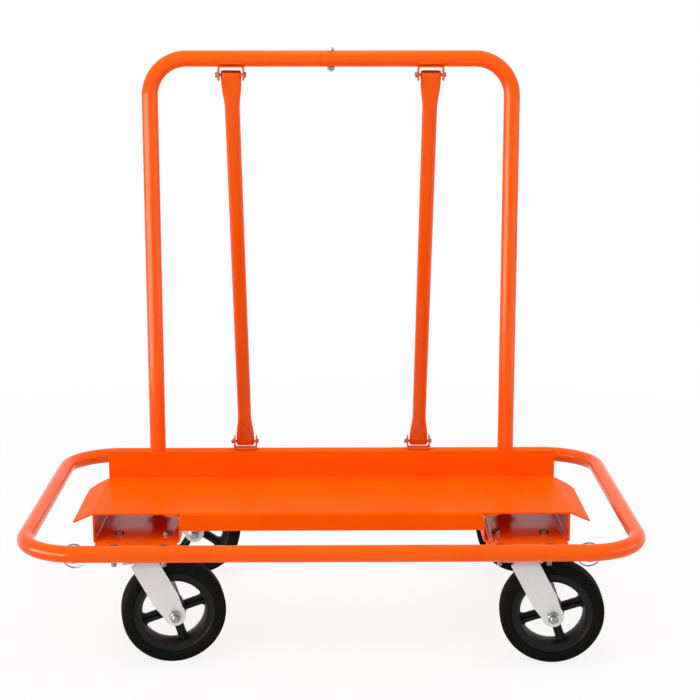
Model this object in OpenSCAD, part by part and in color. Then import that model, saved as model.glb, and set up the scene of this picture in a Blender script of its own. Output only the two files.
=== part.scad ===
// Drywall cart: a bumper loop on swivel castors carries a bent deck, an arched handle
// in two halves and two rear struts. All sizes in millimetres, Z up, floor at Z = 0,
// origin under the middle of the loop, deck towards -Y.

/* [Bumper loop] */
// Overall length of the loop, outside of the tube
loop_length = 1204; // [1100:1:1400]
// Overall width of the loop, outside of the tube
loop_width = 740; // [680:1:860]
// Outside diameter of the loop tube
loop_tube = 32; // [25:0.5:40]
// Wall thickness of the loop tube
loop_wall = 2; // [1.2:0.1:4]
// Bend radius of the loop corners, on the tube's centreline
loop_corner = 110; // [60:1:140]
// Height of the loop's centreline above the underside of the channels
loop_rise = 8; // [0:0.5:14]
// Diameter of the drain hole under the rear rail
drain_d = 8; // [4:0.5:12]

/* [Channels] */
// Width of each cross channel, outside
channel_width = 166; // [150:1:190]
// Height of each cross channel, outside
channel_height = 56; // [45:1:80]
// Sheet thickness of the channels
channel_sheet = 3; // [2:0.5:5]
// Outside bend radius of the channels' lower edges
channel_bend = 16; // [8:1:24]
// Outside radius of the bend at the top of each channel's inner wall
flange_bend = 12; // [6:1:20]
// Width of the flange that lies under the deck
flange_width = 30; // [20:1:60]
// Distance from the loop tube's centreline to the ends of the channel walls
wall_setback = 90; // [24:1:110]
// Height of the channel walls at their rear ends
wall_rear_height = 28; // [20:1:44]
// Length over which the channel walls slope down to the rear
wall_taper = 110; // [40:1:200]

/* [Deck] */
// Length of the deck, to the outside of the channels
deck_length = 910; // [820:1:960]
// Depth of the deck from its front face to the upstand
deck_depth = 245; // [200:1:260]
// Sheet thickness of the deck
deck_sheet = 3; // [2:0.5:5]
// Inside bend radius of the deck's folds
deck_bend = 3; // [1:0.5:8]
// Height of the upstand above the deck
upstand_height = 56; // [30:1:90]
// Height of the front lip, from the deck's top
lip_height = 35; // [18:1:45]
// Width of the sloping wing at each end of the deck
wing_width = 40; // [15:1:55]
// Slope of the wings
wing_slope = 23; // [5:1:40]

/* [Handle] */
// Height of the top bar's centreline above the channel floor
handle_rise = 901; // [700:1:1100]
// Outside diameter of the handle tube
handle_tube = 32; // [25:0.5:38]
// Wall thickness of the handle tube
handle_wall = 2; // [1.2:0.1:4]
// Bend radius of the handle's corners, on the tube's centreline
handle_corner = 73; // [50:1:120]
// Distance of each leg inboard of its channel's middle
leg_shift = 16; // [0:0.5:20]
// Distance of the top bar's seam from the middle
seam_offset = 20; // [14:1:40]
// Length of the reduced end that plugs into the other half
plug_length = 55; // [40:1:90]
// Height of the spigots inside the handle's legs
spigot_height = 90; // [60:1:140]
// Height of the foot bolts above the channel floor
foot_bolt_height = 40; // [25:1:50]

/* [Struts] */
// Distance between the two struts
strut_span = 392; // [200:1:520]
// Outside diameter of the strut tube
strut_tube = 30; // [22:0.5:34]
// Wall thickness of the strut tube
strut_wall = 1.5; // [1:0.1:3]
// Width of a strut's flattened end
flat_width = 40; // [35:0.5:55]
// Thickness of a strut's flattened end
flat_thick = 14; // [12:0.5:18]
// Length of the flattened end beyond the bolt, towards the tube
flat_length = 15; // [12:1:40]
// Length of the change from flat to round
flat_blend = 58; // [30:1:90]
// Distance from the bolt to the cut end of the strut
flat_margin = 7; // [6:0.5:8]

/* [Strut brackets] */
// Sheet thickness of the brackets
bracket_sheet = 3; // [2:0.5:4]
// Clearance between a strut's flat end and each bracket flange
bracket_gap = 3; // [0.3:0.1:5]
// Depth of the brackets, across the tube
bracket_depth = 28; // [20:1:32]
// Distance of the bracket bolt from the face of the tube
bracket_bolt_drop = 15.5; // [15:0.5:24]
// Distance from the bolt to the end of a bracket's flanges
bracket_margin = 11; // [8:0.5:16]

/* [Castors] */
// Wheel diameter over the tyre
wheel_d = 200; // [160:1:250]
// Width of the tyre
tyre_width = 50; // [40:1:54]
// Radial thickness of the tyre
tyre_thick = 22; // [15:0.5:30]
// Radius of the tyre's shoulders
tyre_shoulder = 8; // [3:0.5:12]
// Radial depth of the wheel's rim
rim_depth = 15; // [8:0.5:20]
// Distance of the rim's edge inside the tyre's side
rim_inset = 2.5; // [0.5:0.5:6]
// Number of spokes
spoke_count = 4; // [3:1:8]
// Width of a spoke
spoke_width = 17; // [8:0.5:22]
// Thickness of a spoke, across the wheel
spoke_thick = 12; // [6:0.5:20]
// Width of the rib along the middle of a spoke
rib_width = 4; // [2:0.5:8]
// Diameter of the wheel's hub boss
boss_d = 46; // [38:1:60]
// Outside diameter of the wheel bearing
bearing_d = 26; // [20:0.5:32]
// Diameter of the axle bolt
axle_d = 12; // [8:0.5:16]
// Distance of the axle behind the swivel axis
trail = 59; // [35:1:75]
// Width of a fork leg
leg_width = 50; // [44:1:60]
// Radius of a fork leg's end, round the axle
leg_tip = 21; // [16:0.5:22]
// Distance above the axle at which a fork leg starts to narrow
leg_taper = 33; // [20:1:60]
// Plate thickness of the fork
fork_plate = 6; // [4:0.5:8]
// Clearance beside the tyre, inside the fork
fork_clearance = 8; // [3:0.5:10]
// Clearance between the tyre and the fork's crown
crown_clearance = 11; // [10:0.5:30]
// Length of the fork's crown
crown_length = 76; // [70:1:90]
// Diameter of the swivel bearing's dust skirt
race_d = 68; // [64:1:72]
// Diameter of the bearing balls
ball_d = 9.5; // [6:0.5:9.5]
// Number of bearing balls
ball_count = 12; // [6:1:14]
// Diameter of the kingpin
kingpin_d = 16; // [10:0.5:20]
// Thickness of the castor's mounting plate
plate_sheet = 6; // [4:0.5:10]
// Length of the mounting plate
plate_length = 118; // [114:1:130]
// Width of the mounting plate
plate_width = 112; // [110:1:130]
// Lengthwise distance between the mounting bolts
plate_bolts_x = 94; // [92:1:102]
// Crosswise distance between the mounting bolts
plate_bolts_y = 88; // [84:1:96]
// Distance of each swivel axis inboard of its channel's middle
castor_shift = 8; // [0:0.5:12]
// Distance of each swivel axis from the loop tube's centreline
castor_inset = 92; // [85:1:160]

/* [Linch pins] */
// Distance of a linch pin's middle from the channel's outer wall
pin_offset = 27.5; // [26:0.5:40]
// Distance of a linch pin behind the loop tube's centreline
pin_setback = 30; // [28:1:45]
// Distance of a linch pin below the loop tube's centreline
pin_drop = 13; // [2:1:14]
// Diameter of a linch pin
pin_d = 9.5; // [6:0.5:12]
// Diameter of a linch pin's head
head_d = 16; // [14:0.5:17]
// Mean radius of the snap ring
ring_r = 22.5; // [20:0.5:24]
// Wire diameter of the snap ring
ring_wire = 3; // [2:0.25:4]
// Thickness of the lug that holds the pin
lug_thick = 8; // [4:0.5:10]
// Radius of the lug's rounded end
lug_r = 9; // [9:0.5:13]

/* [Fasteners and fits] */
// Diameter of the castor mounting bolts
castor_bolt_d = 10; // [8:0.5:12]
// Length of the castor mounting bolts below their nuts
castor_bolt_tail = 18; // [3:0.5:20]
// Diameter of the handle bolts
handle_bolt_d = 8; // [6:0.5:10]
// Diameter of the strut bolts
strut_bolt_d = 6; // [5:0.5:7]
// Clearance of a bolt in its hole, on the diameter
bolt_fit = 0.4; // [0.2:0.1:1]
// Radial clearance of running fits
run_fit = 0.05; // [0.02:0.01:0.09]
// Clearance between fixed pieces that seat on each other
seat_gap = 0.1; // [0.05:0.05:0.4]
// Clearance beside pieces that turn
side_gap = 0.3; // [0.2:0.1:1]

/* [Hidden] */
$fn = 64;
hull_fn = 32;
hex = 6;
past = 1;

orange = [1, 0.33, 0.02];
zinc = [0.78, 0.79, 0.8];
steel = [0.6, 0.6, 0.62];
black = [0.06, 0.06, 0.06];
rubber = [0.1, 0.1, 0.1];

// Heights, from the floor up
axle_z = wheel_d / 2;
crown_z = wheel_d + crown_clearance;
leg_root = 0.9 * leg_tip;
crown_roof = crown_z + fork_plate;
crown_pad = 1;
crown_top = crown_roof + crown_pad;
race_roof = 2;
race_drop = ball_d + side_gap + race_roof;
plate_z = crown_top + race_drop;
plate_top = plate_z + plate_sheet;
floor_top = plate_top + channel_sheet;
loop_z = plate_top + loop_rise;
deck_z = plate_top + channel_height;
deck_top = deck_z + deck_sheet;
bar_z = floor_top + handle_rise;

// Places across the cart
rail_x = (loop_length - loop_tube) / 2;
rail_y = (loop_width - loop_tube) / 2;
channel_out = deck_length / 2;
channel_x = channel_out - channel_width / 2;
channel_in = channel_out - channel_width;
wall_end = rail_y - wall_setback;
upstand_y = -handle_tube / 2 - seat_gap - deck_sheet;
deck_front = upstand_y - deck_depth;
leg_x = channel_x - leg_shift;
castor_x = channel_x - castor_shift;
castor_y = rail_y - castor_inset;

// Castor sizes
rim_r = axle_z - tyre_thick;
rim_bore = rim_r - rim_depth;
rim_width = tyre_width - 2 * rim_inset;
fork_gap = tyre_width + 2 * fork_clearance;
fork_width = fork_gap + 2 * fork_plate;
fork_bend = 0.36 * fork_width;
crown_depth = 2 * fork_plate;
axle_nut_h = 1.2 * axle_d;
axle_tail = 0.6 * axle_d;
bearing_length = fork_gap - 2 * side_gap;
boss_length = bearing_length - 2 * side_gap;
rake = atan2(trail, crown_z - axle_z);
leg_run = norm([trail, crown_z - axle_z]);
ball_r = ball_d / 2;
skirt_wall = 3.5;
ball_ring = race_d / 2 - skirt_wall - side_gap - 2 * ball_r + race_roof;
ball_z = crown_top + side_gap + ball_r;
kingpin_head_d = 1.75 * kingpin_d;
kingpin_head_h = kingpin_d / 2;
plate_corner = 8;

// Fastener sizes follow the bolt's diameter
function across_corners(d) = 1.85 * d;
function head_height(d) = 0.65 * d;
function nut_height(d) = 0.8 * d;
function tail_length(d) = 0.3 * d;

// Handle and strut sizes
handle_bore = handle_tube - 2 * handle_wall;
plug_d = handle_bore - 2 * seat_gap;
strut_x = strut_span / 2;
strut_top_z = bar_z - handle_tube / 2 - bracket_bolt_drop;
strut_foot_z = loop_z + loop_tube / 2 + bracket_bolt_drop;
strut_lean = atan2(rail_y, strut_top_z - strut_foot_z);
strut_length = norm([rail_y, strut_top_z - strut_foot_z]);
bracket_inside = flat_width + 2 * bracket_gap;
bracket_outside = bracket_inside + 2 * bracket_sheet;
bracket_bite = 2;

// Linch pin places
pin_x = channel_out + pin_offset;
pin_y = -rail_y + pin_setback;
pin_z = loop_z - pin_drop;
ring_open = head_d / 2 + ring_wire / 3;
ring_end_angle = asin(ring_open / ring_r);
ring_hinge = ring_r * cos(ring_end_angle);
ring_pin_depth = 3.5;

// Castor places, each with the turn of its wheel's spokes and of its fork
front_left = [-castor_x, -castor_y, 17, 9.5];
front_right = [castor_x, -castor_y, 18.5, -3];
rear_left = [-castor_x, castor_y, 57, 0];
rear_right = [castor_x, castor_y, 38, 0];
castors = [front_left, front_right, rear_left, rear_right];
sides = [-1, 1];

// Quarter bend of solid round bar, from +X towards +Y
module bar_bend(r, d) {
    rotate_extrude(angle = 90)
        translate([r, 0])
            circle(d = d);
}

// Closed rounded rectangle of solid round bar
module loop_bar(d) {
    run_x = rail_x - loop_corner;
    run_y = rail_y - loop_corner;
    for (s = sides) {
        translate([-run_x, s * rail_y, 0])
            rotate([0, 90, 0])
                cylinder(d = d, h = 2 * run_x);
        translate([s * rail_x, run_y, 0])
            rotate([90, 0, 0])
                cylinder(d = d, h = 2 * run_y);
    }
    for (turn = [0:3]) {
        sx = turn == 0 || turn == 3 ? 1 : -1;
        sy = turn < 2 ? 1 : -1;
        translate([sx * run_x, sy * run_y, 0])
            rotate([0, 0, 90 * turn])
                bar_bend(loop_corner, d);
    }
}

module bumper_loop() {
    color(orange)
        translate([0, 0, loop_z])
            difference() {
                loop_bar(loop_tube);
                loop_bar(loop_tube - 2 * loop_wall);
                translate([0, rail_y, -loop_tube])
                    cylinder(d = drain_d, h = loop_tube);
            }
}

// Room for the loop's straight rails, used where pieces are coped to them
module rail_cope() {
    for (s = sides)
        translate([0, s * rail_y, loop_z])
            rotate([0, 90, 0])
                cylinder(d = loop_tube + 2 * seat_gap, h = loop_length, center = true);
}

// Upright rectangle with rounded lower corners, middle of its base at the origin
module trough(w, h, r) {
    translate([-w / 2, r])
        square([w, h - r]);
    translate([-w / 2 + r, 0])
        square([w - 2 * r, h]);
    for (s = sides)
        translate([s * (w / 2 - r), r])
            circle(r = r);
}

// Quarter of a ring, from +X towards +Y
module bend_section(inside, sheet) {
    intersection() {
        difference() {
            circle(r = inside + sheet);
            circle(r = inside);
        }
        square(inside + sheet);
    }
}

// Section of the right-hand channel: its inner wall, on the left, folds over under the deck
module channel_section() {
    fold_x = -channel_width / 2 + flange_bend;
    fold_z = channel_height - flange_bend;
    difference() {
        trough(channel_width, channel_height, channel_bend);
        translate([0, channel_sheet])
            trough(channel_width - 2 * channel_sheet, channel_height, channel_bend - channel_sheet);
        translate([fold_x - flange_bend, fold_z])
            square(flange_bend);
    }
    translate([fold_x, fold_z])
        mirror([1, 0])
            bend_section(flange_bend - channel_sheet, channel_sheet);
    translate([fold_x, channel_height - channel_sheet])
        square([flange_width - flange_bend, channel_sheet]);
}

// Side view of the channel walls, in depth and height: they slope down at the rear
module channel_side() {
    polygon([
        [-wall_end, 0],
        [wall_end, 0],
        [wall_end, wall_rear_height],
        [wall_end - wall_taper, channel_height],
        [-wall_end, channel_height]
    ]);
}

module channel(side) {
    floor_width = channel_width - 2 * channel_bend;
    color(orange)
        difference() {
            union() {
                mirror([side > 0 ? 0 : 1, 0, 0])
                    translate([channel_x, 0, plate_top])
                        intersection() {
                            translate([0, wall_end, 0])
                                rotate([90, 0, 0])
                                    linear_extrude(2 * wall_end)
                                        channel_section();
                            translate([-channel_width / 2, 0, 0])
                                rotate([90, 0, 90])
                                    linear_extrude(channel_width)
                                        channel_side();
                        }
                translate([side * channel_x - floor_width / 2, -rail_y, plate_top])
                    cube([floor_width, 2 * rail_y, channel_sheet]);
            }
            rail_cope();
            for (place = castors)
                if (place[0] * side > 0)
                    plate_bolt_places(place)
                        cylinder(d = castor_bolt_d + bolt_fit, h = 4 * channel_sheet, center = true);
        }
}

// Section of the deck in depth and height: flat, upstand and, in the middle, the lip
module deck_section(with_lip) {
    bend_out = deck_bend + deck_sheet;
    flat_start = with_lip ? deck_front + bend_out : deck_front;
    translate([flat_start, deck_z])
        square([upstand_y - deck_bend - flat_start, deck_sheet]);
    translate([upstand_y, deck_top + deck_bend])
        square([deck_sheet, upstand_height - deck_bend]);
    translate([upstand_y - deck_bend, deck_top + deck_bend])
        mirror([0, 1])
            bend_section(deck_bend, deck_sheet);
    if (with_lip) {
        translate([deck_front, deck_top - lip_height])
            square([deck_sheet, lip_height - bend_out]);
        translate([deck_front + bend_out, deck_z - deck_bend])
            mirror([1, 0])
                bend_section(deck_bend, deck_sheet);
    }
}

// Wing of the right-hand end: a sloping flange with its rear corner rounded
module wing_plan(w) {
    translate([channel_out - deck_sheet, deck_front]) {
        square([w + deck_sheet, deck_depth - w]);
        square([deck_sheet, deck_depth]);
    }
    translate([channel_out, upstand_y - w])
        circle(r = w);
}

module wing() {
    reach = wing_width * cos(wing_slope);
    fall = wing_width * sin(wing_slope);
    fold_x = channel_out + deck_sheet * tan(wing_slope / 2);
    intersection() {
        translate([0, upstand_y, 0])
            rotate([90, 0, 0])
                linear_extrude(deck_depth)
                    polygon([
                        [channel_out, deck_top],
                        [fold_x, deck_top],
                        [fold_x + reach, deck_top - fall],
                        [fold_x + reach - deck_sheet * sin(wing_slope),
                         deck_top - fall - deck_sheet * cos(wing_slope)],
                        [channel_out, deck_z]
                    ]);
        translate([0, 0, deck_z - fall - deck_sheet])
            linear_extrude(fall + 3 * deck_sheet)
                wing_plan(fold_x + reach - channel_out);
    }
}

module deck() {
    lip_half = channel_in - 2 * seat_gap;
    color(orange) {
        translate([-lip_half, 0, 0])
            rotate([90, 0, 90])
                linear_extrude(2 * lip_half)
                    deck_section(true);
        for (s = sides)
            translate([s > 0 ? lip_half : -channel_out, 0, 0])
                rotate([90, 0, 90])
                    linear_extrude(channel_out - lip_half)
                        deck_section(false);
        wing();
        mirror([1, 0, 0])
            wing();
    }
}

// Solid bar of the right-hand handle half, from its foot to the given end of the top bar
module handle_bar(d, bar_end) {
    translate([leg_x, 0, floor_top])
        cylinder(d = d, h = handle_rise - handle_corner);
    translate([leg_x - handle_corner, 0, bar_z - handle_corner])
        rotate([90, 0, 0])
            bar_bend(handle_corner, d);
    translate([bar_end, 0, bar_z])
        rotate([0, 90, 0])
            cylinder(d = d, h = leg_x - handle_corner - bar_end);
}

module handle_drillings(side) {
    translate([0, 0, bar_z])
        cylinder(d = handle_bolt_d + bolt_fit, h = 2 * handle_tube, center = true);
    translate([side * leg_x, 0, floor_top + foot_bolt_height])
        rotate([0, 90, 0])
            cylinder(d = handle_bolt_d + bolt_fit, h = 2 * handle_tube, center = true);
}

module right_handle() {
    color(orange)
        difference() {
            handle_bar(handle_tube, -seam_offset);
            handle_bar(handle_bore, -seam_offset - past);
            translate([leg_x, 0, floor_top - past])
                cylinder(d = handle_bore, h = 2 * past);
            handle_drillings(1);
        }
}

module left_handle() {
    plug_bore = plug_d - 2 * handle_wall;
    color(orange)
        difference() {
            union() {
                mirror([1, 0, 0])
                    handle_bar(handle_tube, seam_offset);
                translate([-seam_offset - handle_wall, 0, bar_z])
                    rotate([0, 90, 0])
                        cylinder(d = plug_d, h = plug_length + handle_wall);
            }
            mirror([1, 0, 0])
                handle_bar(handle_bore, seam_offset + handle_wall);
            translate([-leg_x, 0, floor_top - past])
                cylinder(d = handle_bore, h = 2 * past);
            translate([-seam_offset - 2 * handle_wall, 0, bar_z])
                rotate([0, 90, 0])
                    cylinder(d = plug_bore, h = plug_length + 3 * handle_wall);
            handle_drillings(-1);
        }
}

module handle_spigots() {
    color(orange)
        for (s = sides)
            difference() {
                translate([s * leg_x, 0, floor_top])
                    cylinder(d = plug_d, h = spigot_height);
                translate([s * leg_x, 0, floor_top - past])
                    cylinder(d = plug_d - 2 * handle_wall, h = spigot_height + 2 * past);
                handle_drillings(s);
            }
}

module stadium(w, t) {
    square([w - t, t], center = true);
    for (s = sides)
        translate([s * (w - t) / 2, 0])
            circle(d = t);
}

// Flattened strut end, each face drawn in by the given inset: bolt at the origin, strut up +Z
module flat_end(inset, run_past) {
    translate([0, 0, -flat_margin - run_past])
        linear_extrude(flat_margin + run_past + flat_length)
            stadium(flat_width - 2 * inset, flat_thick - 2 * inset);
    hull() {
        translate([0, 0, flat_length - past])
            linear_extrude(past)
                stadium(flat_width - 2 * inset, flat_thick - 2 * inset, $fn = hull_fn);
        translate([0, 0, flat_length + flat_blend])
            cylinder(d = strut_tube - 2 * inset, h = past, $fn = hull_fn);
    }
}

// Solid form of a strut, from its foot bolt up, each face drawn in by the given inset
module strut_bar(inset, run_past) {
    tube_start = flat_length + flat_blend;
    flat_end(inset, run_past);
    translate([0, 0, strut_length])
        mirror([0, 0, 1])
            flat_end(inset, run_past);
    translate([0, 0, tube_start])
        cylinder(d = strut_tube - 2 * inset, h = strut_length - 2 * tube_start);
}

module strut(side) {
    color(orange)
        translate([side * strut_x, rail_y, strut_foot_z])
            rotate([strut_lean, 0, 0])
                difference() {
                    strut_bar(0, 0);
                    strut_bar(strut_wall, past);
                    for (z = [0, strut_length])
                        translate([0, 0, z])
                            rotate([0, 90, 0])
                                cylinder(d = strut_bolt_d + bolt_fit, h = 2 * flat_width, center = true);
                }
}

// Strut bracket that opens upwards, with its bolt's axis at the origin
module bracket() {
    height = bracket_bolt_drop + bracket_bite + bracket_margin;
    base = -bracket_bolt_drop - bracket_bite;
    bend_out = 2 * bracket_sheet;
    difference() {
        translate([0, bracket_depth / 2, base])
            rotate([90, 0, 0])
                linear_extrude(bracket_depth)
                    difference() {
                        trough(bracket_outside, height, bend_out);
                        translate([0, bracket_sheet])
                            trough(bracket_inside, height, bend_out - bracket_sheet);
                    }
        rotate([0, 90, 0])
            cylinder(d = strut_bolt_d + bolt_fit, h = 2 * bracket_outside, center = true);
    }
}

module strut_brackets() {
    color(orange)
        for (s = sides) {
            difference() {
                translate([s * strut_x, rail_y, strut_foot_z])
                    bracket();
                rail_cope();
            }
            difference() {
                translate([s * strut_x, 0, strut_top_z])
                    mirror([0, 0, 1])
                        bracket();
                translate([0, 0, bar_z])
                    rotate([0, 90, 0])
                        cylinder(d = handle_tube + 2 * seat_gap, h = 2 * leg_x, center = true);
            }
        }
}

// Hexagon-headed bolt: head's seat at the origin, shank along -Z through the grip and nut
module bolt(d, grip, tail, nut_h) {
    shank = grip + nut_h + tail;
    cylinder(d = across_corners(d), h = head_height(d), $fn = hex);
    translate([0, 0, -shank])
        cylinder(d = d, h = shank + past);
}

// Hexagon nut for the same bolt, seated at the far side of the grip
module nut(d, grip, nut_h) {
    translate([0, 0, -grip - nut_h])
        difference() {
            cylinder(d = across_corners(d), h = nut_h, $fn = hex);
            translate([0, 0, -past])
                cylinder(d = d + 2 * run_fit, h = nut_h + 2 * past);
        }
}

module handle_bolt_place() {
    translate([0, 0, bar_z + handle_tube / 2])
        children();
}

module foot_bolt_places() {
    for (s = sides)
        translate([s * (leg_x - handle_tube / 2), 0, floor_top + foot_bolt_height])
            rotate([0, -90 * s, 0])
                children();
}

module handle_bolt() {
    color(zinc)
        handle_bolt_place()
            bolt(handle_bolt_d, handle_tube, tail_length(handle_bolt_d), nut_height(handle_bolt_d));
}

module foot_bolts() {
    color(zinc)
        foot_bolt_places()
            bolt(handle_bolt_d, handle_tube, tail_length(handle_bolt_d), nut_height(handle_bolt_d));
}

module handle_nuts() {
    color(zinc) {
        handle_bolt_place()
            nut(handle_bolt_d, handle_tube, nut_height(handle_bolt_d));
        foot_bolt_places()
            nut(handle_bolt_d, handle_tube, nut_height(handle_bolt_d));
    }
}

module strut_bolt_places() {
    for (s = sides) {
        translate([s * strut_x + bracket_outside / 2, rail_y, strut_foot_z])
            rotate([0, 90, 0])
                children();
        translate([s * strut_x + bracket_outside / 2, 0, strut_top_z])
            rotate([0, 90, 0])
                children();
    }
}

module strut_bolts() {
    color(zinc)
        strut_bolt_places()
            bolt(strut_bolt_d, bracket_outside, tail_length(strut_bolt_d), nut_height(strut_bolt_d));
}

module strut_nuts() {
    color(zinc)
        strut_bolt_places()
            nut(strut_bolt_d, bracket_outside, nut_height(strut_bolt_d));
}

// Corners of a castor's bolt pattern, on the top of its plate
module plate_bolt_places(place) {
    for (sx = sides, sy = sides)
        translate([place[0] + sx * plate_bolts_x / 2, place[1] + sy * plate_bolts_y / 2, plate_top])
            children();
}

module castor_bolt_places() {
    for (place = castors)
        plate_bolt_places(place)
            translate([0, 0, channel_sheet])
                children();
}

module castor_bolts() {
    color(zinc)
        castor_bolt_places()
            bolt(castor_bolt_d, plate_sheet + channel_sheet, castor_bolt_tail, nut_height(castor_bolt_d));
}

module castor_nuts() {
    color(zinc)
        castor_bolt_places()
            nut(castor_bolt_d, plate_sheet + channel_sheet, nut_height(castor_bolt_d));
}

// Mounting plate with the upper race of the swivel bearing on its underside
module castor_plate(place) {
    color(zinc)
        difference() {
            union() {
                translate([place[0], place[1], plate_z])
                    linear_extrude(plate_sheet)
                        plate_outline();
                translate([place[0], place[1], plate_z])
                    swivel_race();
            }
            plate_bolt_places(place)
                cylinder(d = castor_bolt_d + bolt_fit, h = 4 * plate_sheet, center = true);
            translate([place[0], place[1], crown_top])
                cylinder(d = kingpin_d + 2 * run_fit, h = race_drop + plate_sheet + past);
        }
}

module plate_outline() {
    square([plate_length - 2 * plate_corner, plate_width], center = true);
    square([plate_length, plate_width - 2 * plate_corner], center = true);
    for (sx = sides, sy = sides)
        translate([sx * (plate_length / 2 - plate_corner), sy * (plate_width / 2 - plate_corner)])
            circle(r = plate_corner);
}

// Upper race: a grooved ring with a dust skirt round the balls
module swivel_race() {
    drop = race_drop - side_gap - ball_r;
    skirt_gap = 3 * side_gap;
    difference() {
        translate([0, 0, -race_drop + skirt_gap])
            cylinder(d = race_d, h = race_drop - skirt_gap);
        translate([0, 0, -race_drop])
            cylinder(d = race_d - 2 * skirt_wall, h = race_drop - drop + side_gap);
        rotate_extrude()
            translate([ball_ring, -drop])
                circle(r = ball_r + seat_gap);
    }
}

module castor_balls(place) {
    color(steel)
        translate([place[0], place[1], ball_z])
            for (i = [0:ball_count - 1])
                rotate([0, 0, 360 * i / ball_count])
                    translate([ball_ring, 0, 0])
                        sphere(d = ball_d);
}

// Kingpin: riveted in the plate, with its head under the fork's crown
module castor_kingpin(place) {
    color(zinc)
        translate([place[0], place[1], crown_z - side_gap]) {
            cylinder(d = kingpin_d, h = plate_top - seat_gap - crown_z + side_gap);
            translate([0, 0, -kingpin_head_h])
                cylinder(d = kingpin_head_d, h = kingpin_head_h);
        }
}

// Turns a castor's parts about its swivel axis
module on_swivel(place) {
    translate([place[0], place[1], 0])
        rotate(place[3])
            children();
}

// Puts a wheel's parts on its axle, with their axis towards the front of the cart
module on_axle(place) {
    on_swivel(place)
        translate([trail, 0, axle_z])
            rotate([90, 0, 0])
                children();
}

// Side view of the fork: a raked leg that narrows to a round end, under a short crown
module fork_side() {
    translate([trail, axle_z]) {
        rotate(rake)
            polygon([
                [-leg_root, 0],
                [leg_root, 0],
                [leg_width / 2, leg_taper],
                [leg_width / 2, leg_run],
                [-leg_width / 2, leg_run],
                [-leg_width / 2, leg_taper]
            ]);
        circle(r = leg_tip);
    }
    translate([-crown_length / 2, crown_roof - crown_depth])
        square([crown_length, crown_depth]);
}

// Front view of the fork: an arch open at the bottom
module fork_arch() {
    span = crown_roof - axle_z + leg_width;
    difference() {
        translate([0, crown_roof])
            mirror([0, 1])
                trough(fork_width, span, fork_bend);
        translate([0, crown_z])
            mirror([0, 1])
                trough(fork_gap, span, fork_bend - fork_plate);
    }
}

module castor_fork(place) {
    reach = trail + crown_length + leg_width;
    color(zinc)
        on_swivel(place)
            difference() {
                union() {
                    intersection() {
                        translate([0, fork_width / 2, 0])
                            rotate([90, 0, 0])
                                linear_extrude(fork_width)
                                    fork_side();
                        translate([-reach, 0, 0])
                            rotate([90, 0, 90])
                                linear_extrude(2 * reach)
                                    fork_arch();
                    }
                    translate([0, 0, crown_z + crown_pad / 2])
                        cylinder(r = ball_ring + ball_r, h = fork_plate + crown_pad / 2);
                }
                translate([trail, 0, axle_z])
                    rotate([90, 0, 0])
                        cylinder(d = axle_d + 2 * run_fit, h = 2 * fork_width, center = true);
                translate([0, 0, crown_z - past])
                    cylinder(d = kingpin_d + 2 * run_fit, h = fork_plate + crown_pad + 2 * past);
            }
}

module castor_axle_bolt(place) {
    color(zinc)
        on_axle(place)
            translate([0, 0, -fork_width / 2])
                mirror([0, 0, 1])
                    bolt(axle_d, fork_width, axle_tail, axle_nut_h);
}

module castor_axle_nut(place) {
    color(zinc)
        on_axle(place)
            translate([0, 0, -fork_width / 2])
                mirror([0, 0, 1])
                    nut(axle_d, fork_width, axle_nut_h);
}

module castor_bearing(place) {
    color(steel)
        on_axle(place)
            difference() {
                cylinder(d = bearing_d, h = bearing_length, center = true);
                cylinder(d = axle_d + 2 * run_fit, h = 2 * bearing_length, center = true);
            }
}

module castor_hub(place) {
    spoke_run = rim_r - rim_depth / 2;
    rim_draft = rim_depth / 5;
    color(black)
        on_axle(place)
            rotate(place[2])
                difference() {
                    union() {
                        rotate_extrude()
                            polygon([
                                [rim_r, -rim_width / 2],
                                [rim_r, rim_width / 2],
                                [rim_bore, rim_width / 2],
                                [rim_bore - rim_draft, 0],
                                [rim_bore, -rim_width / 2]
                            ]);
                        cylinder(d = boss_d, h = boss_length, center = true);
                        for (i = [0:spoke_count - 1])
                            rotate(360 * i / spoke_count) {
                                translate([0, -spoke_width / 2, -spoke_thick / 2])
                                    cube([spoke_run, spoke_width, spoke_thick]);
                                translate([0, -rib_width / 2, -rim_width / 3])
                                    cube([spoke_run, rib_width, 2 * rim_width / 3]);
                            }
                    }
                    cylinder(d = bearing_d + 2 * run_fit, h = 2 * boss_length, center = true);
                }
}

module castor_tyre(place) {
    tread_half = tyre_width / 2 - tyre_shoulder;
    shoulder_r = axle_z - tyre_shoulder;
    bore_r = rim_r + run_fit;
    color(rubber)
        on_axle(place)
            rotate_extrude() {
                translate([bore_r, -tyre_width / 2])
                    square([shoulder_r - bore_r, tyre_width]);
                translate([bore_r, -tread_half])
                    square([axle_z - bore_r, 2 * tread_half]);
                for (s = sides)
                    translate([shoulder_r, s * tread_half])
                        circle(r = tyre_shoulder);
            }
}

// Puts a linch pin's parts in place, with the pin's head outboard along +X
module at_pin(side) {
    translate([side * pin_x, pin_y, pin_z])
        mirror([side > 0 ? 0 : 1, 0, 0])
            children();
}

module pin_lugs() {
    lug_reach = pin_setback - 3 * loop_tube / 8;
    color(orange)
        difference() {
            for (s = sides)
                at_pin(s)
                    rotate([90, 0, 90])
                        translate([0, 0, -lug_thick / 2])
                            linear_extrude(lug_thick)
                                difference() {
                                    union() {
                                        circle(r = lug_r);
                                        translate([-lug_reach, -lug_r])
                                            square([lug_reach, 2 * lug_r]);
                                    }
                                    circle(d = pin_d + 2 * seat_gap);
                                }
            translate([0, 0, loop_z])
                loop_bar(loop_tube + 2 * seat_gap);
        }
}

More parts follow.
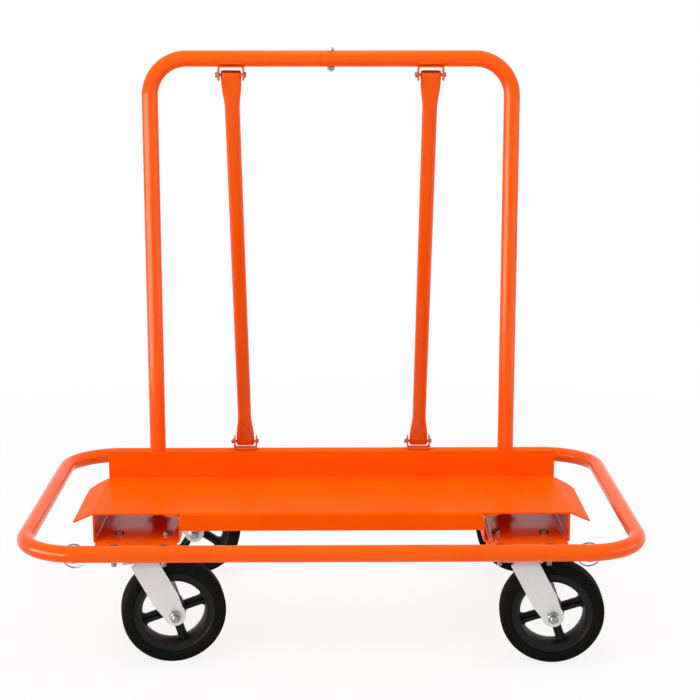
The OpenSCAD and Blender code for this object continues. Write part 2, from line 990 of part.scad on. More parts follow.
module linch_pins() {
    collar_d = (pin_d + head_d) / 2;
    collar_start = lug_thick / 2 + seat_gap;
    head_start = ring_hinge - 2 * ring_wire;
    tip = ring_r - ring_wire;
    color(zinc)
        for (s = sides)
            at_pin(s)
                difference() {
                    union() {
                        translate([-tip, 0, 0])
                            rotate([0, 90, 0])
                                cylinder(d = pin_d, h = tip + head_start + past);
                        translate([collar_start, 0, 0])
                            rotate([0, 90, 0])
                                cylinder(d = collar_d, h = head_start - collar_start + past);
                        translate([head_start, 0, 0])
                            rotate([0, 90, 0])
                                cylinder(d = head_d, h = 4 * ring_wire);
                    }
                    for (end = sides)
                        translate([ring_hinge, 0, 0])
                            mirror([0, 0, end > 0 ? 0 : 1])
                                translate([0, 0, ring_open - ring_pin_depth - side_gap])
                                    cylinder(d = ring_wire + 2 * run_fit, h = head_d);
                }
}

module linch_ring(side) {
    color(steel)
        at_pin(side)
            rotate([90, 0, 0]) {
                rotate(ring_end_angle)
                    rotate_extrude(angle = 360 - 2 * ring_end_angle)
                        translate([ring_r, 0])
                            circle(d = ring_wire);
                for (end = sides)
                    translate([ring_hinge, end * (ring_open + ring_wire / 2), 0])
                        rotate([90 * end, 0, 0])
                            cylinder(d = ring_wire, h = ring_pin_depth + ring_wire / 2);
            }
}

bumper_loop();
channel(-1);  // left_channel
channel(1);  // right_channel
deck();
left_handle();
right_handle();
handle_spigots();
strut(-1);  // left_strut
strut(1);  // right_strut
strut_brackets();
handle_bolt();
foot_bolts();
handle_nuts();
strut_bolts();
strut_nuts();
castor_bolts();
castor_nuts();
pin_lugs();
linch_pins();
linch_ring(-1);  // left_linch_ring
linch_ring(1);  // right_linch_ring
castor_plate(front_left);  // front_left_plate
castor_balls(front_left);  // front_left_balls
castor_kingpin(front_left);  // front_left_kingpin
castor_fork(front_left);  // front_left_fork
castor_axle_bolt(front_left);  // front_left_axle_bolt
castor_axle_nut(front_left);  // front_left_axle_nut
castor_bearing(front_left);  // front_left_bearing
castor_hub(front_left);  // front_left_hub
castor_tyre(front_left);  // front_left_tyre
castor_plate(front_right);  // front_right_plate
castor_balls(front_right);  // front_right_balls
castor_kingpin(front_right);  // front_right_kingpin
castor_fork(front_right);  // front_right_fork
castor_axle_bolt(front_right);  // front_right_axle_bolt
castor_axle_nut(front_right);  // front_right_axle_nut
castor_bearing(front_right);  // front_right_bearing
castor_hub(front_right);  // front_right_hub
castor_tyre(front_right);  // front_right_tyre
castor_plate(rear_left);  // rear_left_plate
castor_balls(rear_left);  // rear_left_balls
castor_kingpin(rear_left);  // rear_left_kingpin
castor_fork(rear_left);  // rear_left_fork
castor_axle_bolt(rear_left);  // rear_left_axle_bolt
castor_axle_nut(rear_left);  // rear_left_axle_nut
castor_bearing(rear_left);  // rear_left_bearing
castor_hub(rear_left);  // rear_left_hub
castor_tyre(rear_left);  // rear_left_tyre
castor_plate(rear_right);  // rear_right_plate
castor_balls(rear_right);  // rear_right_balls
castor_kingpin(rear_right);  // rear_right_kingpin
castor_fork(rear_right);  // rear_right_fork
castor_axle_bolt(rear_right);  // rear_right_axle_bolt
castor_axle_nut(rear_right);  // rear_right_axle_nut
castor_bearing(rear_right);  // rear_right_bearing
castor_hub(rear_right);  // rear_right_hub
castor_tyre(rear_right);  // rear_right_tyre
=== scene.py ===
import math
import bmesh
import bpy
from mathutils import Matrix, Vector


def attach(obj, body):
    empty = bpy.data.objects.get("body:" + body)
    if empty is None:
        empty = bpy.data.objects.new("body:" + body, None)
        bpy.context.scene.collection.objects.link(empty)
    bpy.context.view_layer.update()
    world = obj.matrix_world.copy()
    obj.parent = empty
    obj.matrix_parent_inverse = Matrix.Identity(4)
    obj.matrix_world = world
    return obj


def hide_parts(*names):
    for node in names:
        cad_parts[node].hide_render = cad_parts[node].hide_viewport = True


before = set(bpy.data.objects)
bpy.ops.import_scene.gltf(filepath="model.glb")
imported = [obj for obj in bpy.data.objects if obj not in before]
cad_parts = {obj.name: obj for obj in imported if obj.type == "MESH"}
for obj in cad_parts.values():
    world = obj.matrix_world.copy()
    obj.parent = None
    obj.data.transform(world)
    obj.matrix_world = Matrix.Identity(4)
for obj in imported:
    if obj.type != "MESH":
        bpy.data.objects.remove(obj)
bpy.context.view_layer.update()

scene = bpy.context.scene
scene.view_settings.view_transform = "Standard"
for spare in ("Cube", "Light", "Camera"):
    if spare in bpy.data.objects:
        bpy.data.objects.remove(bpy.data.objects[spare])
print("frame loaded,", len(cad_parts), "nodes")


class Wire:  # one output socket, sums on it add Math nodes
    def __init__(self, tree, socket):
        self.tree = tree
        self.socket = socket

    def math(self, how, a, b=None):
        sockets = {0: a} if b is None else {0: a, 1: b}
        return addNode(self.tree, "ShaderNodeMath", {"operation": how}, sockets)

    def __add__(self, other): return self.math("ADD", self, other)
    def __radd__(self, other): return self.math("ADD", other, self)
    def __mul__(self, other): return self.math("MULTIPLY", self, other)
    def __rmul__(self, other): return self.math("MULTIPLY", other, self)
    def __truediv__(self, other): return self.math("DIVIDE", self, other)
    def __rtruediv__(self, other): return self.math("DIVIDE", other, self)


# type, settings such as an operation, then values or wires for the sockets
def addNode(tree, kind, settings=None, sockets=None, out=0):
    node = tree.nodes.new(kind)
    for key, value in (settings or {}).items():
        setattr(node, key, value)
    for key, value in (sockets or {}).items():
        if isinstance(value, Wire):
            tree.links.new(value.socket, node.inputs[key])
        else:
            node.inputs[key].default_value = value
    return Wire(tree, node.outputs[out]) if len(node.outputs) else node


# finishes: scales are those of the noise, depths are those of the bumps in metres

def newFinish(name):
    mat = bpy.data.materials.new(name)
    mat.use_nodes = True
    mat.node_tree.nodes.clear()
    return mat, mat.node_tree


def objectPlace(tree, stretch=(1, 1, 1)):
    place = addNode(tree, "ShaderNodeTexCoord", out=3)
    return addNode(tree, "ShaderNodeMapping", None, {"Vector": place, "Scale": stretch})


def noise(tree, place, scale, detail=2, rough=0.5):
    return addNode(tree, "ShaderNodeTexNoise", None,
                   {"Vector": place, "Scale": scale, "Detail": detail, "Roughness": rough})


def ramp(tree, value, low, high):  # 0 below low, 1 above high
    return addNode(tree, "ShaderNodeMapRange", {"interpolation_type": "SMOOTHSTEP"},
                   {"Value": value, "From Min": low, "From Max": high})


def blendColour(tree, share, first, second):
    return addNode(tree, "ShaderNodeMix", {"data_type": "RGBA"}, {0: share, 6: first, 7: second}, out=2)


def bump(tree, height, depth):
    return addNode(tree, "ShaderNodeBump", None, {"Height": height, "Distance": depth, "Strength": 1.0})


def closeFinish(tree, sockets):
    shader = addNode(tree, "ShaderNodeBsdfPrincipled", None, sockets)
    addNode(tree, "ShaderNodeOutputMaterial", None, {"Surface": shader})


paint = {"deep": (0.95, 0.102, 0.0005, 1), "bright": (0.98, 0.116, 0.0006, 1), "cloud": 7, "smear": 38,
         "scuff": 90, "peel": 260, "peelDepth": 0.00003,
         "gloss": (0.1, 0.13), "satin": (0.28, 0.012)}  # roughness and shine of tubes, of bent sheet


def makeOrangePaint(name, start, shine):
    mat, tree = newFinish(name)
    place = objectPlace(tree)
    cloud = noise(tree, place, paint["cloud"], 3)
    smear = noise(tree, place, paint["smear"], 4, 0.65)
    peel = noise(tree, place, paint["peel"], 1, 0.35)
    colour = blendColour(tree, ramp(tree, cloud, 0.3, 0.7), paint["deep"], paint["bright"])
    scuff = ramp(tree, noise(tree, objectPlace(tree, (1, 6, 6)), paint["scuff"], 3, 0.7), 0.66, 0.8)
    rough = start + smear * 0.08 + scuff * 0.1
    normal = bump(tree, peel, paint["peelDepth"])
    closeFinish(tree, {"Base Color": colour, "Roughness": rough, "Normal": normal,
                       "Specular IOR Level": shine})
    return mat


zinc = {"pale": (0.75, 0.775, 0.785, 1), "dull": (0.69, 0.71, 0.72, 1), "spangle": 210, "cloud": 26,
        "roll": 70, "pits": 650, "depth": 0.00008, "rough": 0.36, "metal": 0.15}


def makeZincPlate():
    mat, tree = newFinish("zincPlate")
    place = objectPlace(tree)
    cell = addNode(tree, "ShaderNodeTexVoronoi", {"feature": "F1"},
                   {"Vector": place, "Scale": zinc["spangle"]}, out=1)
    flake = addNode(tree, "ShaderNodeSeparateColor", None, {0: cell})
    cloud = noise(tree, place, zinc["cloud"], 4, 0.6)
    roll = noise(tree, objectPlace(tree, (1, 1, 14)), zinc["roll"], 3, 0.6)
    share = ramp(tree, cloud * 0.75 + flake * 0.12 + roll * 0.2, 0.3, 0.9)
    colour = blendColour(tree, share, zinc["pale"], zinc["dull"])
    rough = zinc["rough"] + cloud * 0.12 + flake * 0.04
    normal = bump(tree, roll * 0.5 + noise(tree, place, zinc["pits"], 2) * 0.5, zinc["depth"])
    closeFinish(tree, {"Base Color": colour, "Roughness": rough, "Normal": normal, "Metallic": zinc["metal"]})
    return mat


boltFinish = {"pale": (0.33, 0.333, 0.33, 1), "dull": (0.19, 0.19, 0.187, 1), "cloud": 140, "pits": 900,
              "depth": 0.00004, "rough": 0.28}


def makeFastenerZinc():
    mat, tree = newFinish("fastenerZinc")
    place = objectPlace(tree)
    cloud = noise(tree, place, boltFinish["cloud"], 3, 0.6)
    colour = blendColour(tree, ramp(tree, cloud, 0.3, 0.75), boltFinish["pale"], boltFinish["dull"])
    normal = bump(tree, noise(tree, place, boltFinish["pits"], 2), boltFinish["depth"])
    closeFinish(tree, {"Base Color": colour, "Roughness": boltFinish["rough"] + cloud * 0.16,
                       "Normal": normal, "Metallic": 1.0})
    return mat


steel = {"pale": (0.36, 0.36, 0.35, 1), "dull": (0.20, 0.20, 0.204, 1), "cloud": 60, "lines": 420,
         "depth": 0.00005, "rough": 0.18}


def makeBrightSteel():
    mat, tree = newFinish("brightSteel")
    place = objectPlace(tree)
    cloud = noise(tree, place, steel["cloud"], 3, 0.6)
    lines = noise(tree, objectPlace(tree, (1, 1, 10)), steel["lines"], 2)
    colour = blendColour(tree, ramp(tree, cloud, 0.3, 0.75), steel["pale"], steel["dull"])
    normal = bump(tree, lines, steel["depth"])
    closeFinish(tree, {"Base Color": colour, "Roughness": steel["rough"] + cloud * 0.16,
                       "Normal": normal, "Metallic": 1.0})
    return mat


coreFinish = {"deep": (0.006, 0.006, 0.0065, 1), "worn": (0.014, 0.014, 0.0145, 1), "cloud": 45,
              "grain": 900, "depth": 0.00016, "rough": 0.36, "shine": 0.12}


def makeBlackCore():
    mat, tree = newFinish("blackCore")
    place = objectPlace(tree)
    cloud = noise(tree, place, coreFinish["cloud"], 3)
    grain = noise(tree, place, coreFinish["grain"], 2, 0.6)
    colour = blendColour(tree, cloud, coreFinish["deep"], coreFinish["worn"])
    normal = bump(tree, grain, coreFinish["depth"])
    closeFinish(tree, {"Base Color": colour, "Roughness": coreFinish["rough"] + cloud * 0.2,
                       "Normal": normal, "Specular IOR Level": coreFinish["shine"]})
    return mat


rubber = {"deep": (0.005, 0.005, 0.0049, 1), "dusty": (0.011, 0.0108, 0.0105, 1), "cloud": 30,
          "grain": 1100, "depth": 0.0002, "rough": 0.62, "shine": 0.04}


def makeTyreRubber():
    mat, tree = newFinish("tyreRubber")
    place = objectPlace(tree)
    cloud = noise(tree, place, rubber["cloud"], 4, 0.6)
    grain = noise(tree, place, rubber["grain"], 2, 0.6)
    dust = ramp(tree, cloud, 0.5, 0.85)
    colour = blendColour(tree, dust, rubber["deep"], rubber["dusty"])
    normal = bump(tree, grain + cloud * 0.3, rubber["depth"])
    closeFinish(tree, {"Base Color": colour, "Roughness": rubber["rough"] + cloud * 0.22,
                       "Normal": normal, "Specular IOR Level": rubber["shine"]})
    return mat


orangePaint = makeOrangePaint("orangePaint", *paint["gloss"])
sheetPaint = makeOrangePaint("sheetPaint", *paint["satin"])
zincPlate = makeZincPlate()
fastenerZinc = makeFastenerZinc()
brightSteel = makeBrightSteel()
blackCore = makeBlackCore()
tyreRubber = makeTyreRubber()
print("finishes made")


# shared ways of making a piece, with distances in metres and angles in degrees
clean = {"merge": 1e-6, "cadMerge": 2e-6, "flat": 0.4, "sharp": 35, "easeSteps": 2}


def finishPiece(obj, mat, body, nodes=()):
    obj.data.materials.clear()
    obj.data.materials.append(mat)
    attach(obj, body)
    if nodes:
        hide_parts(*nodes)
    return obj


def linkObject(name, data):
    obj = bpy.data.objects.new(name, data)
    scene.collection.objects.link(obj)
    return obj


def evaluatedMesh(obj):
    graph = bpy.context.evaluated_depsgraph_get()
    mesh = bpy.data.meshes.new_from_object(obj.evaluated_get(graph), depsgraph=graph)
    obj.modifiers.clear()
    obj.data = mesh
    return obj


def smoothMesh(mesh, angle):
    mesh.shade_smooth()
    mesh.set_sharp_from_angle(angle=math.radians(angle))


def meshPiece(name, bm, angle=clean["sharp"]):
    bmesh.ops.remove_doubles(bm, verts=bm.verts, dist=clean["merge"])
    bmesh.ops.recalc_face_normals(bm, faces=bm.faces)
    mesh = bpy.data.meshes.new(name)
    bm.to_mesh(mesh)
    bm.free()
    smoothMesh(mesh, angle)
    return linkObject(name, mesh)


# corners of a closed outline (x, y, radius) drawn as arcs
def roundedOutline(corners, steps):
    line = []
    for i, (x, y, r) in enumerate(corners):
        p = Vector((x, y))
        if r <= 0:
            line.append(p)
            continue
        u = (Vector(corners[i - 1][:2]) - p).normalized()
        v = (Vector(corners[(i + 1) % len(corners)][:2]) - p).normalized()
        half = u.angle(v) / 2
        mid = p + (u + v).normalized() * r / math.sin(half)
        a = p + u * r / math.tan(half) - mid
        b = p + v * r / math.tan(half) - mid
        swing = a.angle_signed(b)
        for k in range(steps + 1):
            line.append(mid + Matrix.Rotation(-swing * k / steps, 2) @ a)
    return line


def mirrored(corners):  # the lower half of an outline, in order
    return [(x, -y, r) for x, y, r in reversed(corners)]


# outline of (radius, along) swept round the local Z axis
def lathe(bm, outline, steps):
    rings = []
    for k in range(steps):
        a = 2 * math.pi * k / steps
        rings.append([bm.verts.new((p[0] * math.cos(a), p[0] * math.sin(a), p[1])) for p in outline])
    for k in range(steps):
        here, there = rings[k], rings[(k + 1) % steps]
        for i in range(len(outline)):
            j = (i + 1) % len(outline)
            bm.faces.new((here[i], there[i], there[j], here[j]))


def bridge(bm, low, high):  # faces between two rings of as many points
    for i in range(len(low)):
        j = (i + 1) % len(low)
        bm.faces.new((low[i], low[j], high[j], high[i]))


def circleLine(radius, steps):
    return [(radius * math.cos(2 * math.pi * k / steps), radius * math.sin(2 * math.pi * k / steps))
            for k in range(steps)]


# a CAD sheet or forging with its edges eased
def easedCopy(node, name, edge, angle=28):
    bm = bmesh.new()
    bm.from_mesh(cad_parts[node].data)
    bmesh.ops.remove_doubles(bm, verts=bm.verts, dist=clean["cadMerge"])
    bmesh.ops.dissolve_limit(bm, angle_limit=math.radians(clean["flat"]), verts=bm.verts, edges=bm.edges)
    mesh = bpy.data.meshes.new(name)
    bm.to_mesh(mesh)
    bm.free()
    mesh.shade_smooth()
    obj = linkObject(name, mesh)
    if edge:
        ease = obj.modifiers.new("ease", "BEVEL")
        ease.width = edge
        ease.segments = clean["easeSteps"]
        ease.limit_method = "ANGLE"
        ease.angle_limit = math.radians(angle)
        ease.miter_outer = "MITER_ARC"
        even = obj.modifiers.new("even", "WEIGHTED_NORMAL")
        even.keep_sharp = True
    evaluatedMesh(obj)
    if not edge:
        obj.data.set_sharp_from_angle(angle=math.radians(angle))
    return obj


# a geometry tree with named inputs, closed by Realize Instances and Set Material
def newTree(name, inputs):
    tree = bpy.data.node_groups.new(name, "GeometryNodeTree")
    tree.interface.new_socket("Geometry", in_out="INPUT", socket_type="NodeSocketGeometry")
    for label, kind in inputs:
        tree.interface.new_socket(label, in_out="INPUT", socket_type="NodeSocket" + kind)
    tree.interface.new_socket("Material", in_out="INPUT", socket_type="NodeSocketMaterial")
    tree.interface.new_socket("Geometry", in_out="OUTPUT", socket_type="NodeSocketGeometry")
    start = tree.nodes.new("NodeGroupInput")
    return tree, {s.name: Wire(tree, s) for s in start.outputs if s.name}


def closeTree(tree, made, inputs, smooth=True):
    if smooth:
        made = addNode(tree, "GeometryNodeSetShadeSmooth", None, {"Geometry": made})
    real = addNode(tree, "GeometryNodeRealizeInstances", None, {"Geometry": made})
    done = addNode(tree, "GeometryNodeSetMaterial", None, {"Geometry": real, "Material": inputs["Material"]})
    addNode(tree, "NodeGroupOutput", None, {0: done})
    return tree


def growPiece(name, tree, points, edges, values, turns=None):
    mesh = bpy.data.meshes.new(name)
    mesh.from_pydata(points, edges, [])
    if turns:
        mark = mesh.attributes.new("turn", "FLOAT_VECTOR", "POINT")
        for i, turn in enumerate(turns):
            mark.data[i].vector = turn
    obj = linkObject(name, mesh)
    grow = obj.modifiers.new("grow", "NODES")
    grow.node_group = tree
    for item in tree.interface.items_tree:
        if item.item_type == "SOCKET" and item.in_out == "INPUT" and item.name in values:
            grow[item.identifier] = values[item.name]
    return evaluatedMesh(obj)


def lineEdges(count, first=0):
    return [(first + i, first + i + 1) for i in range(count - 1)]


# round tube along a line of points, corners bent to one radius
bentTube = {"bendSteps": 18, "around": 40}


def makeTubeTree():
    tree, use = newTree("bentTube", [("Tube Radius", "Float"), ("Bend Radius", "Float"),
                                     ("Bend Steps", "Int"), ("Around", "Int")])
    line = addNode(tree, "GeometryNodeMeshToCurve", None, {"Mesh": use["Geometry"]})
    bent = addNode(tree, "GeometryNodeFilletCurve", {"mode": "POLY"},
                   {"Curve": line, "Count": use["Bend Steps"], "Radius": use["Bend Radius"]})
    ring = addNode(tree, "GeometryNodeCurvePrimitiveCircle", {"mode": "RADIUS"},
                   {"Resolution": use["Around"], "Radius": use["Tube Radius"]})
    tube = addNode(tree, "GeometryNodeCurveToMesh", None,
                   {"Curve": bent, "Profile Curve": ring, "Fill Caps": True})
    return closeTree(tree, tube, use)


tubeTree = makeTubeTree()


def tubePiece(name, points, closed, radius, bend):
    edges = lineEdges(len(points))
    if closed:
        edges.append((len(points) - 1, 0))
    return growPiece(name, tubeTree, points, edges,
                     {"Tube Radius": radius, "Bend Radius": bend, "Bend Steps": bentTube["bendSteps"],
                      "Around": bentTube["around"], "Material": orangePaint})


# bumper loop, with its drain hole under the rear rail
loop = {"x": 0.586, "y": 0.354, "z": 0.2438, "tube": 0.016, "corner": 0.110, "drain": 0.004,
        "drillCore": 0.0001, "drillLow": -0.03, "drillHigh": -0.009, "drillSteps": 24, "sharp": 40}


def makeBumperLoop():
    x, y, z = loop["x"], loop["y"], loop["z"]
    points = [(-x, -y, z), (x, -y, z), (x, y, z), (-x, y, z)]
    obj = tubePiece("bumperLoop", points, True, loop["tube"], loop["corner"])
    thin, wide, low, high = loop["drillCore"], loop["drain"], loop["drillLow"], loop["drillHigh"]
    bm = bmesh.new()
    lathe(bm, [(thin, low), (wide, low), (wide, high), (thin, high)], loop["drillSteps"])
    drill = meshPiece("drill", bm)
    drill.data.transform(Matrix.Translation((0, y, z)))
    cut = obj.modifiers.new("drain", "BOOLEAN")
    cut.object = drill
    cut.solver = "EXACT"
    evaluatedMesh(obj)
    bpy.data.objects.remove(drill)
    smoothMesh(obj.data, loop["sharp"])
    return finishPiece(obj, orangePaint, "frame", ["bumper_loop"])


makeBumperLoop()
print("bumper loop")


# handle halves, joined at a seam in the top bar
handle = {"leg": 0.356, "foot": 0.2388, "bar": 1.1398, "tube": 0.016, "corner": 0.073, "seam": -0.020,
          "lip": 0.0009, "near": 1e-5, "sharp": 50}


def makeHandleHalf(name, side, node):
    leg, foot, bar = handle["leg"] * side, handle["foot"], handle["bar"]
    seam, lip, near = handle["seam"], handle["lip"], handle["near"]
    points = [(leg, 0, foot), (leg, 0, foot + lip), (leg, 0, bar), (seam + lip * side, 0, bar), (seam, 0, bar)]
    obj = tubePiece(name, points, False, handle["tube"], handle["corner"])
    draw = 1 - lip / handle["tube"]
    for v in obj.data.vertices:
        if abs(v.co.x - seam) < near:  # the end is rounded over, so the seam shows as a fine groove
            v.co.y *= draw
            v.co.z = bar + (v.co.z - bar) * draw
        elif abs(v.co.z - foot) < near:
            v.co.y *= draw
            v.co.x = leg + (v.co.x - leg) * draw
    smoothMesh(obj.data, handle["sharp"])
    return finishPiece(obj, orangePaint, "frame", [node])


makeHandleHalf("leftHandle", -1, "left_handle")
makeHandleHalf("rightHandle", 1, "right_handle")
print("handle")


# struts, squashed flat at both ends; the mouth is depth and inset of the open end
strut = {"x": 0.196, "footY": 0.354, "footZ": 0.2753, "topZ": 1.1083, "tube": 0.030,
         "flatWide": 0.040, "flatThick": 0.014, "flat": 0.015, "blend": 0.058, "margin": 0.007,
         "mouth": ((0.010, -0.0015), (0.0005, -0.0015), (0, -0.0009), (0, -0.0005), (0.0006, 0)),
         "blendSteps": 14, "around": 56, "sharp": 50}


def strutRing(wide, thick, z):
    ring = []
    straight = max(wide - thick, 0) / 2
    for k in range(strut["around"]):
        a = 2 * math.pi * (k + 0.5) / strut["around"]
        push = straight if math.cos(a) > 0 else -straight
        ring.append(Vector((push + thick / 2 * math.cos(a), thick / 2 * math.sin(a), z)))
    return ring


def makeStrut(name, side, node):
    run = math.hypot(strut["footY"], strut["topZ"] - strut["footZ"])
    lean = math.atan2(strut["footY"], strut["topZ"] - strut["footZ"])
    half = [(depth - strut["margin"], 0, inset) for depth, inset in strut["mouth"]]
    half.append((strut["flat"], 0, 0))
    steps = strut["blendSteps"]
    for k in range(1, steps + 1):
        half.append((strut["flat"] + strut["blend"] * k / steps, k / steps, 0))
    rings = []
    for z, share, inset in half:
        s = share * share * (3 - 2 * share)
        wide = strut["flatWide"] + (strut["tube"] - strut["flatWide"]) * s + 2 * inset
        thick = strut["flatThick"] + (strut["tube"] - strut["flatThick"]) * s + 2 * inset
        rings.append((wide, thick, z))
    rings += [(w, t, run - z) for w, t, z in reversed(rings)]
    bm = bmesh.new()
    loops = [[bm.verts.new(p) for p in strutRing(w, t, z)] for w, t, z in rings]
    for low, high in zip(loops, loops[1:]):
        bridge(bm, low, high)
    bm.faces.new(list(reversed(loops[0])))
    bm.faces.new(loops[-1])
    obj = meshPiece(name, bm, strut["sharp"])
    obj.data.transform(Matrix.Translation((strut["x"] * side, strut["footY"], strut["footZ"]))
                       @ Matrix.Rotation(lean, 4, "X"))
    return finishPiece(obj, orangePaint, "frame", [node])


makeStrut("leftStrut", -1, "left_strut")
makeStrut("rightStrut", 1, "right_strut")
print("struts")


# bent sheet, brackets and lugs keep their CAD form with eased edges: name, edge, least fold, finish
sheets = {"left_channel": ("leftChannel", 0.0007, 28, orangePaint),
          "right_channel": ("rightChannel", 0.0007, 28, orangePaint),
          "deck": ("deckSheet", 0.0007, 15, sheetPaint),  # the wings fold by only 23 degrees
          "strut_brackets": ("strutBrackets", 0.0007, 28, sheetPaint),
          "pin_lugs": ("pinLugs", 0.001, 28, sheetPaint)}
channel = {"outer": 0.455, "inner": 0.289, "bottom": 0.2358, "bend": 0.016, "fold": 0.0055, "near": 1e-6}
linchPin = {"edge": 0.0006, "ringSharp": 50}


# the floor's folds, drawn in to a press brake's tight radius
def tightenFolds(obj):
    bend, fold = channel["bend"], channel["fold"]
    for v in obj.data.vertices:
        side = 1 if v.co.x > 0 else -1
        x = abs(v.co.x)
        for wall, way in ((channel["outer"], 1), (channel["inner"], -1)):
            dx = (x - wall) * way + bend
            dz = channel["bottom"] + bend - v.co.z
            if dx < -channel["near"] or dz < -channel["near"]:
                continue
            turn = math.atan2(dz, dx)
            depth = bend - math.hypot(dx, dz)
            reach = fold - depth
            v.co.x = side * (wall - way * fold + way * reach * math.cos(turn))
            v.co.z = channel["bottom"] + fold - reach * math.sin(turn)
            break


for node, (name, edge, leastFold, mat) in sheets.items():
    sheet = easedCopy(node, name, edge, leastFold)
    if "channel" in node:
        tightenFolds(sheet)
    finishPiece(sheet, mat, "frame", [node])
finishPiece(easedCopy("linch_pins", "linchPins", linchPin["edge"]), zincPlate, "frame", ["linch_pins"])
for side in ("left", "right"):
    ring = easedCopy(side + "_linch_ring", side + "SnapRing", 0, linchPin["ringSharp"])
    finishPiece(ring, brightSteel, side + "_snap_ring", [side + "_linch_ring"])
print("sheet pieces")


# castors: name, swivel axis, turn of the spokes and of the fork
castor = {"trail": 0.059, "axleZ": 0.1, "forkEdge": 0.0008, "plateEdge": 0.0006,
          "corners": {"front_left": ("frontLeft", -0.364, -0.262, 17, 9.5),
                      "front_right": ("frontRight", 0.364, -0.262, 18.5, -3),
                      "rear_left": ("rearLeft", -0.364, 0.262, 57, 0),
                      "rear_right": ("rearRight", 0.364, 0.262, 38, 0)}}
# lips are steps from rim or bore, dip and corner radius
core = {"rim": 0.078, "rimHalf": 0.0225, "bore": 0.063, "waist": 0.060, "waistHalf": 0.004, "waistEase": 0.01,
        "rimLip": ((0, 0, 0.0008), (0.003, 0, 0.0008), (0.0042, 0.0016, 0.0006)),
        "boreLip": ((0.0035, 0.0016, 0.0006), (0.0022, 0, 0.0006), (0, 0, 0.0009)),
        "boss": 0.023, "bossHalf": 0.0320, "bossTaper": 0.002, "bossEase": 0.002, "bush": 0.01305,
        "bushEase": 0.0008, "spoke": 0.0085, "spokeHalf": 0.006, "overlap": 0.0012, "ease": 0.0012,
        "webInset": 0.006, "webBore": 0.004, "rib": 0.002, "ribHalf": 0.0143, "ribEase": 0.0013,
        "ribRoot": 0.004, "ribTip": 0.002, "rimFillet": 0.0075, "bossFillet": 0.006, "spokes": 4, "sharp": 32}
# bead and groove are steps from bore or shoulder, dip and corner radius; the line is the mould's
tyre = {"bore": 0.07805, "half": 0.025, "radius": 0.1, "shoulder": 0.008, "sharp": 30,
        "bead": ((0, 0.0026, 0), (0.0016, 0.0006, 0.0008), (0.0034, 0, 0.0012)),
        "groove": ((0.0016, 0, 0.0004), (0.0008, 0.0008, 0.0003), (0, 0, 0)),
        "line": ((0, 0.0009), (0.0003, 0.0003))}


# outline of one window between two spokes, its corners rounded against rim and boss
def windowOutline():
    h, f, g = core["spoke"], core["rimFillet"], core["bossFillet"]
    big, small = core["waist"] + core["overlap"], core["boss"]
    line = []
    cx = math.sqrt((small + g) ** 2 - (h + g) ** 2)
    start = math.atan2(-(h + g), -cx)
    for k in range(7):  # boss corner, from the boss to the spoke
        a = start + (-math.pi / 2 - start) * k / 6
        line.append(Vector((cx + g * math.cos(a), h + g + g * math.sin(a))))
    cx = math.sqrt((big - f) ** 2 - (h + f) ** 2)
    end = math.atan2(h + f, cx)
    for k in range(9):  # rim corner, from the spoke to the rim
        a = -math.pi / 2 + (end + math.pi / 2) * k / 8
        line.append(Vector((cx + f * math.cos(a), h + f + f * math.sin(a))))
    for k in range(1, 8):  # along the rim to the middle of the window
        a = end + (math.pi / 4 - end) * k / 8
        line.append(Vector((big * math.cos(a), big * math.sin(a))))
    half = list(line)
    line.append(Vector((big * math.cos(math.pi / 4), big * math.sin(math.pi / 4))))
    line += [Vector((p.y, p.x)) for p in reversed(half)]
    first, last = math.atan2(half[0].x, half[0].y), math.atan2(half[0].y, half[0].x)
    for k in range(1, 10):  # back along the boss
        turn = first + (last - first) * k / 10
        line.append(Vector((small * math.cos(turn), small * math.sin(turn))))
    return line


def flatSpline(curve, points):
    spline = curve.splines.new("POLY")
    spline.points.add(len(points) - 1)
    for slot, p in zip(spline.points, points):
        slot.co = (p[0], p[1], 0, 1)
    spline.use_cyclic_u = True


# flat web of the wheel, with a window between each two spokes
def webMesh():
    curve = bpy.data.curves.new("web", "CURVE")
    curve.dimensions = "2D"
    curve.fill_mode = "BOTH"
    curve.extrude = core["spokeHalf"] - core["ease"]
    curve.bevel_depth = core["ease"]
    curve.bevel_resolution = 2
    curve.offset = -core["ease"]
    flatSpline(curve, circleLine(core["rim"] - core["webInset"], 96))
    flatSpline(curve, circleLine(core["bush"] + core["webBore"], 48))
    window = windowOutline()
    for k in range(core["spokes"]):
        swing = Matrix.Rotation(math.pi / 2 * k, 2)
        flatSpline(curve, [swing @ p for p in window])
    web = linkObject("web", curve)
    graph = bpy.context.evaluated_depsgraph_get()
    mesh = bpy.data.meshes.new_from_object(web.evaluated_get(graph))
    bpy.data.objects.remove(web)
    return mesh


